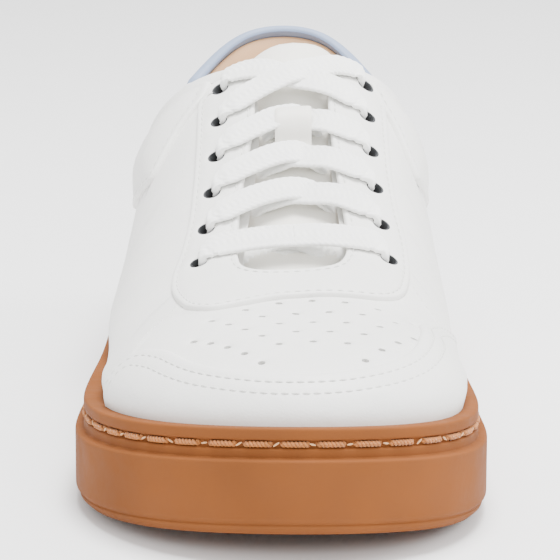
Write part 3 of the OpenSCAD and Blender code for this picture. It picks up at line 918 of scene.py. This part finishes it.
# ---- collar and heel
def columns(s):
    """Columns at distances round the sole: position, station and inward direction in plan."""
    t = t_at(s)
    f, r, st = feet(t)
    u = (r - f) / norm(r - f, axis=1, keepdims=True)
    return t, st, u


def section(s, points):
    """A ring for each column, from points (inward distance, depth below the collar edge)."""
    t, st, u = columns(s)
    top = collar_z(st)
    rings = []
    for w, drop in points:
        z = top - drop
        p = skin(t, angle_at_z(t, z))
        p[:, :2] += u * w
        p[:, 2] = z
        rings.append(p)
    return np.array(rings).transpose(1, 0, 2)


def swept(name, s, points, mat, slot, replaced=()):
    """Padded roll along the collar edge, narrowed at its ends."""
    rings = section(s, points)
    mid = rings.mean(1, keepdims=True)
    for k, f in enumerate((0.3, 0.72, 0.93)):
        rings[k] = mid[k] + (rings[k] - mid[k]) * f
        rings[-1 - k] = mid[-1 - k] + (rings[-1 - k] - mid[-1 - k]) * f
    verts, faces = solid_loft(rings, 0)
    return make(name, verts, faces, mat, slot, sharp=60, replaced=replaced)


def roll(inner, outer, low_in, low_out):
    """Section of a rolled edge: outer foot, round top, inner foot."""
    mid, half = (inner + outer) / 2, (inner - outer) / 2
    pts = [(outer + 0.5, low_out), (outer, low_out * 0.75), (outer - 0.15, low_out * 0.45)]
    for a in np.linspace(0.15, math.pi - 0.15, 9):
        pts.append((mid - half * math.cos(a), half * 0.9 * (1 - math.sin(a))))
    pts += [(inner + 0.2, low_in * 0.45), (inner, low_in * 0.75), (inner - 0.7, low_in)]
    pts += [(mid + half * 0.3, max(low_in, low_out) * 0.6), (mid - half * 0.3, max(low_in, low_out) * 0.55)]
    return pts


TAB_Y = 121.0


def collar():
    """Rolled edge, padded side panels and the blue heel."""
    tab = {s: along_side([(TAB_Y, 0)], s)[0, 0] for s in (1, -1)}
    front = {s: along_side([(33.0, 0)], s)[0, 0] for s in (1, -1)}
    section_pts = roll(3.4, -1.6, 4.0, 7.0)
    for side, name in ((1, "lateral"), (-1, "medial")):
        s = np.linspace(front[side], tab[side] + side * 1.5, 90)
        rim = swept("collar_rim_" + name, s, section_pts, WHITE, "white_leather",
                    replaced=("collar_rim",) if side > 0 else ())
        edge = rim_points((36, 44, 54, 64, 76, 90, 104, 116, 122), 5.2)
        low = [(122, 54), (104, 50), (86, 49), (66, 50), (48, 53), (34, 58),
               (22, 64), (14, 69), (18, 76), (24, 84), (29, 92)]
        loop = along_side(edge + low, side)

        def crown(flat, d):
            uneven = [noise.noise(Vector((x / 15, y / 15, 4.0))) for x, y in flat]
            return 2.2 * ramp(0, 13, d) + 0.15 * np.array(uneven)
        pad, loop = panel("collar_%s_panel" % name, resample(loop, 3), wall, LAP, 1.3, WHITE,
                          "white_leather", seams=(1.8,), relief=crown, replaced=("collar_" + name,),
                          corner=5)
        sew(wall, loop, 1.8, LAP + 1.15, lambda p: p[:, 1] < collar_z(station_at(p[:, 0])) - 8.5)
    s = np.linspace(tab[1], tab[-1] + ARC_ALL, 110)
    rim = swept("heel_rim", s, roll(3.0, -1.9, 3.6, 8.0), BLUE, "blue_leather", replaced=("heel_tab",))
    high = [(y, float(collar_z(int(y))) - 6.5) for y in (122.5, 132, 141)]
    low = [(123, 54), (132, 52)]

    def medial(points):
        return [(ARC_ALL - a, b) for a, b in np.abs(along_side(points, -1))]
    tab_loop = np.vstack([along_side(high, 1), [(HEEL_S, float(collar_z(146)) - 6.5)], medial(high[::-1]),
                          medial(low), [(HEEL_S, 49)], along_side(low[::-1], 1)])
    _, loop = panel("heel_tab_panel", resample(tab_loop, 3), wall, LAP, 1.3, BLUE, "blue_leather",
                    seams=(1.8,))
    sew(wall, loop, 1.8, LAP + 1.15, lambda p: p[:, 1] < 80)
    lining()


# Station where the collar's padding begins
COLLAR_FRONT = 36


def lining():
    """Tan lining of the sides and heel, swelling over the collar padding."""
    start = {s: along_side([(-40.0, 0)], s)[0, 0] for s in (1, -1)}
    s = np.linspace(start[1], start[-1] + ARC_ALL, 220)
    t, st, _ = columns(s)
    throat = st < COLLAR_FRONT
    swell = ramp(COLLAR_FRONT, COLLAR_FRONT + 20, st)
    top = np.where(throat, 0, collar_z(st) + 1.6)
    ang_hi = np.where(throat, angle_at_plan(t, st), angle_at_z(t, top - 3.5))
    ang_lo = angle_at_z(t, bed(feet(t)[0][:, 1]) + 6.5)
    rows = []
    for k in np.linspace(0, 1, 26):
        ang = ang_lo + (ang_hi - ang_lo) * k
        z = skin(t, ang)[:, 2]
        k2 = (z - (top - 34)) / 30
        bulge_in = np.where(throat, 0, 4.6 * swell * ramp(0, 0.6, k2))
        edge_in = (1.2 + 4.6 * swell) * (1 - ramp(-1, 6, top - 3.5 - z)) * ramp(34, 40, st)
        rows.append((ang, -3.4 - bulge_in + edge_in))
    outer = np.array([skin(t, a, o) for a, o in rows])
    inner = np.array([skin(t, a, o - 0.9) for a, o in rows])
    m, n = outer.shape[:2]
    verts = np.concatenate([outer.reshape(-1, 3), inner.reshape(-1, 3)])
    faces = []
    for i in range(m - 1):
        for j in range(n - 1):
            a, b, c, d = i * n + j, i * n + j + 1, (i + 1) * n + j + 1, (i + 1) * n + j
            faces += [(a, b, c, d), (d + m * n, c + m * n, b + m * n, a + m * n)]
    ring = list(range(n)) + [i * n + n - 1 for i in range(1, m)]
    ring += [(m - 1) * n + j for j in range(n - 2, -1, -1)] + [i * n for i in range(m - 2, 0, -1)]
    for a, b in zip(ring, ring[1:] + ring[:1]):
        faces.append((b, a, a + m * n, b + m * n))
    make("quarter_lining_panel", verts, faces, TAN, "tan_leather", sharp=60, replaced=("quarter_lining",))


def angle_at_plan(t, st):
    """Angle at which a column reaches the edge of the throat."""
    f, r, _ = feet(t, bulge(t))
    side = np.where(np.asarray(t) % 1.0 <= 0.5, -1, 1)
    x = side * (throat_half(st) + 1.6) + THROAT_X
    d = np.abs(x - r[:, 0])
    return np.degrees(np.arccos(np.clip(d / norm(f - r, axis=1), 0, 1) ** (ROUND / 2)))


# ---- tongue and keeper
TONGUE_FRONT, TONGUE_TOP = -62.0, 50.5


def tongue():
    """One padded piece, with a shallow pressed groove across its top at the hinge line of the flap."""
    phi = np.arange(44) * 2 * math.pi / 44
    u = np.sign(np.cos(phi)) * np.abs(np.cos(phi)) ** 0.7
    v = np.sign(np.sin(phi)) * np.abs(np.sin(phi)) ** 0.75
    rings = []
    for y in np.linspace(TONGUE_FRONT, TONGUE_TOP, 110):
        half = 23.6 - 3.2 * ramp(-60, 40, y) - 1.5 * ramp(36, 44, y)
        end = np.clip((TONGUE_TOP - y) / 7.0, 0.02, 1)
        half *= math.sqrt(1 - (1 - end) ** 2) * 0.42 + 0.58
        soft_end = math.sqrt(1 - (1 - np.clip((TONGUE_TOP - y) / 2.6, 0.03, 1)) ** 2)
        soft_end = min(soft_end, 0.35 + 0.65 * float(ramp(TONGUE_FRONT, TONGUE_FRONT + 14, y)))
        thick = (2.9 + 0.6 * ramp(20, 44, y)) * soft_end
        crown = 4.2 * (1 - u * u) * ramp(-58, -40, y) - 0.6 * np.exp(-((np.abs(u) - 0.86) / 0.06) ** 2)
        crown = crown * (v > 0)
        ripple = 0.35 * np.array([noise.noise(Vector((a * 2.0, y / 11, 1.5))) for a in u])
        groove = -0.45 * math.exp(-((y - 38.5) / 1.0) ** 2)
        off = -TONGUE_DEPTH - 3.0 + v * thick + (crown + ripple * (v > 0)) * soft_end + groove * (v > 0)
        rings.append(over(y, u * half, off))
    verts, faces = solid_loft(rings, 50)
    obj = make("tongue_pad", verts, faces, TONGUE_WHITE, "tongue_leather", body=None, sharp=70)
    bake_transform(obj)
    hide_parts("tongue", "tongue_padding", "tongue_lining", "tongue_tip", "tongue_tip_padding")


def keeper():
    """Strap over the crossing of the lace, with its ends sewn down."""
    y0, y1 = 1.6, 10.6
    low = -TONGUE_DEPTH + 4.0
    path = [(y0 - 5, low), (y0 - 1, low + 0.1), (y0 + 0.2, low + 1.0), (y0 + 1.0, 2.0), (y0 + 2.0, 3.9),
            (y0 + 3.4, 4.8), (y1 - 2.6, 4.7), (y1 - 1.2, 3.4), (y1 - 0.3, low + 2), (y1 + 0.6, low + 0.4),
            (y1 + 2, low), (y1 + 5, low)]
    path = soften(resample(path, 0.6, False), 4, False)
    x = 1.2 * np.array([-4.6, -4.3, -3.6, -2, 0, 2, 3.6, 4.3, 4.6, 4.3, 3.6, 0, -3.6, -4.3])
    z = np.array([0.45, 0.75, 0.9, 0.86, 0.86, 0.86, 0.9, 0.75, 0.45, 0.12, 0, 0, 0, 0.12])
    verts, faces = solid_loft([over(p[0], x, p[1] + z) for p in path], 20)
    make("lace_keeper_strap", verts, faces, TONGUE_WHITE, "tongue_leather", sharp=60,
         replaced=("lace_keeper",))


# ---- laces
LACE_W, LACE_T = 8.4, 1.5
LIFT = LEATHER + LAP + 0.4 + LACE_T
UNDER = -5.0 - LACE_T / 2
NARROW, THICK = 3.4, 2.3


def wide(y, x, off, less=0.0):
    """Point of a lace that lies flat, with its width and thickness."""
    return (over(y, x, off), LACE_W - less, LACE_T)


def gathered(y, x, off):
    """Point of a lace drawn together in a hole."""
    return (over(y, x, off), NARROW, THICK)


def out_of(k, s):
    """Lace coming up through an eyelet, out of its inner half."""
    y, e = ROWS_Y[k], ROWS_E[k]
    return [(below(y + 0.6, s * (e - 1.2), -UNDER), NARROW, THICK),
            (below(y + 0.7, s * (e - 1.3), 1.6 - LIFT), NARROW, THICK),
            wide(y + 1.1, s * (e - 2.4), LIFT - 0.6, 2.2), wide(y + 1.6, s * (e - 4.6), LIFT + 0.1, 0.2)]


def crossing(k, s):
    """One run from an eyelet over the tongue and under the leather opposite."""
    y, d = ROWS_Y[k], float(ROW_PITCH)
    h = float(throat_half(y + d / 2))
    top = 0.75 if s > 0 else -0.75
    return out_of(k, -s) + [
        wide(y + 0.3 * d, -s * (h - 1), LIFT + 0.1 + 0.3 * top),
        wide(y + 0.43 * d, -s * 5, LIFT - 0.5 + top),
        wide(y + 0.52 * d, s * 0.5, LIFT - 1.2 + top), wide(y + 0.6 * d, s * (h - 8), LIFT - 3.2 + top),
        wide(y + 0.67 * d, s * (h - 4), -2.4), wide(y + 0.74 * d, s * (h - 1), UNDER + 0.8, 0.6),
        wide(y + 0.85 * d, s * (h + 3), UNDER, 1.6)]


def half_lace(s):
    """Half of the lace, from the front bar to the end tucked in at the top."""
    y0, y4, e5 = ROWS_Y[0], ROWS_Y[4], ROWS_E[5]
    route = [wide(y0 + 2, 0, LIFT), wide(y0 + 2, s * 8, LIFT), wide(y0 + 1.8, s * 17, LIFT)]
    route += out_of(0, s)[::-1]
    route += [wide(y0 + 3, s * 18, UNDER, 2), wide(y0 + 5.2, s * 12, UNDER + 0.8),
              wide(y0 + 7.5, 0, -2.0 + 0.8 * s), wide(y0 + 9.8, -s * 12, UNDER + 0.8),
              wide(y0 + 12, -s * 18, UNDER, 2)]
    route += crossing(1, s) + crossing(2, -s) + crossing(3, s) + out_of(4, s)
    route += [wide(y4 + 4.0, s * 12, LIFT + 0.5), wide(y4 + 6.0, s * 6, LIFT + 0.9 - 0.4 * s),
              wide(y4 + 8.5, 0, LIFT + 0.9 - 0.9 * s), wide(y4 + 11.5, -s * 7, LIFT + 0.7),
              wide(y4 + 14.4, -s * 13, LIFT + 0.3, 0.6),
              wide(y4 + 15.6, -s * (e5 - 2.4), LIFT - 0.2, 2.0),
              gathered(ROWS_Y[5] + 0.5, -s * (e5 - 0.7), LIFT - 1.6)]
    s = -s
    route += [(below(30.4, s * 20.9, 5.6), NARROW, THICK), (below(27, s * 24, 6.2), NARROW, THICK),
              (below(20, s * 26.3, 6.4), NARROW, THICK), (below(9.5, s * 27, 6.6), 2.6, 2.2)]
    return route


def smooth_route(route, step):
    """Even points of a smooth curve through a route, with widths and thicknesses."""
    p = np.array([r[0] for r in route])
    extra = np.array([(r[1], r[2]) for r in route])
    d = np.concatenate([[0], np.cumsum(np.sqrt(norm(np.diff(p, axis=0), axis=1)))])
    q, e = [], []
    for k in range(len(p) - 1):
        before, after = max(k - 1, 0), min(k + 2, len(p) - 1)
        m0 = (p[k + 1] - p[before]) / (d[k + 1] - d[before])
        m1 = (p[after] - p[k]) / (d[after] - d[k])
        h = d[k + 1] - d[k]
        for u in np.linspace(0, 1, 24, endpoint=False):
            q.append((2 * u ** 3 - 3 * u ** 2 + 1) * p[k] + (u ** 3 - 2 * u ** 2 + u) * h * m0
                     + (-2 * u ** 3 + 3 * u ** 2) * p[k + 1] + (u ** 3 - u ** 2) * h * m1)
            e.append(extra[k] + (extra[k + 1] - extra[k]) * (3 * u * u - 2 * u ** 3))
    q, e = np.array(q), np.array(e)
    s = run_length(q)
    at = np.linspace(0, s[-1], int(s[-1] / step))
    q = np.stack([np.interp(at, s, q[:, k]) for k in range(3)], -1)
    e = np.stack([np.interp(at, s, e[:, k]) for k in range(2)], -1)
    for _ in range(3):
        q[1:-1] = (q[:-2] + 2 * q[1:-1] + q[2:]) / 4
    return at, q, e


def laces():
    """Two flat woven halves, gathered where they pass through the eyelets."""
    phi = np.arange(30) * 2 * math.pi / 30
    across = np.sign(np.cos(phi)) * np.abs(np.cos(phi)) ** 0.8
    thick = np.sign(np.sin(phi)) * np.abs(np.sin(phi)) ** 0.6
    for side, name in ((1, "a"), (-1, "b")):
        at, q, e = smooth_route(half_lace(side), 0.36)
        t = np.gradient(q, axis=0)
        t /= norm(t, axis=1, keepdims=True)
        along = np.array((0, 1, 0.74)) / math.hypot(1, 0.74)
        w = along[None] - (t @ along)[:, None] * t
        w /= norm(w, axis=1, keepdims=True)
        for k in range(1, len(w)):
            if w[k] @ w[k - 1] < 0:
                w[k] = -w[k]
        for _ in range(12):
            w[1:-1] = (w[:-2] + 2 * w[1:-1] + w[2:]) / 4
        w -= (w * t).sum(1, keepdims=True) * t
        w /= norm(w, axis=1, keepdims=True)
        h = np.cross(t, w)
        half_w, half_t = e[:, :1] / 2, e[:, 1:] / 2
        flat = np.clip((e[:, :1] - NARROW) / (LACE_W - NARROW), 0, 1)
        weave = 0.2 * np.cos(2 * math.pi * (at[:, None] / 2.0 - np.abs(across)[None] * half_w / 2.0))
        weave = weave * np.abs(np.sin(phi))[None] ** 0.5
        ridge = 0.22 * np.exp(-((np.abs(across)[None] - 0.86) / 0.08) ** 2) * flat
        ridge = ridge - 0.1 * np.exp(-(across[None] / 0.1) ** 2) * flat
        drift = np.array([[noise.noise(Vector((a / 17, side * 3.0, 0)))] for a in at])
        cup = 0.35 * flat * (across[None] ** 2 - 0.4) * drift
        level = np.abs(thick)[None] * half_t + (weave + ridge) * (np.abs(thick)[None] > 0.3)
        level = np.sign(thick)[None] * level + cup
        verts = q[:, None] + w[:, None] * (across[None] * half_w)[..., None] + h[:, None] * level[..., None]
        make("lace_half_" + name, *solid_loft(verts, 20), LACE, "lace_cotton", sharp=80,
             replaced=("lace",) if side > 0 else ())


# ---- build
outsole()
tread()
sole_thread()
upper()
collar()
tongue()
keeper()
eyelet_shade_sleeves()
laces()
make("upper_stitches", *thread_top.mesh(), SEAM, "white_leather", sharp=60)

# Finishes of the pieces taken from the frame as they are
CAD_FINISH = {
    "midsole_foam": (FOAM, "foam"), "insole_board": (BOARD, "board"),
    "footbed_foam": (FOAM, "foam"), "footbed_cover": (TAN, "tan_leather"),
    "toe_puff": (STIFF, "stiffener"), "vamp_lining": (LINING, "white_lining"),
    "heel_counter": (STIFF, "stiffener"), "eyelet_stays": (LINING, "stiffener"),
    "collar_padding": (FOAM, "foam"), "lace_tips": (TIP, "lace_tip"),
}
for node, (mat, slot) in CAD_FINISH.items():
    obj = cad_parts[node]
    obj.data.materials.clear()
    obj.data.materials.append(mat)

# ---- floor and light
FLOOR = material("floor", (0.86, 0.86, 0.86), 0.85, [("noise", 40, 0.02)], 0.004, 90)
FLOOR_DROP = 0.0004
bpy.ops.mesh.primitive_plane_add(size=6, location=(0, 1.2, -FLOOR_DROP))
floor = bpy.context.object
floor.name = "floor"
floor.data.materials.append(FLOOR)


def lamp(name, place, target, size, power):
    data = bpy.data.lights.new(name, "AREA")
    data.shape = "RECTANGLE"
    data.size, data.size_y = size
    data.energy = power
    obj = bpy.data.objects.new(name, data)
    obj.location = place
    obj.rotation_euler = (Vector(target) - Vector(place)).to_track_quat("-Z", "Y").to_euler()
    bpy.context.scene.collection.objects.link(obj)


lamp("top_soft", (0.1, -0.1, 1.25), (0, 0, 0), (0.6, 0.6), 42)
lamp("front_soft", (0.45, -1.25, 0.75), (0, 0, 0.03), (0.6, 0.5), 9)
lamp("left_soft", (-1.1, -0.2, 0.55), (0, 0, 0.05), (0.7, 0.7), 1.5)
lamp("right_soft", (1.1, 0.1, 0.65), (0, 0, 0.05), (0.6, 0.6), 11)
world = bpy.data.worlds.new("studio")
world.use_nodes = True
world.node_tree.nodes["Background"].inputs["Color"].default_value = (1, 1, 1, 1)
world.node_tree.nodes["Background"].inputs["Strength"].default_value = 1.5
bpy.context.scene.world = world
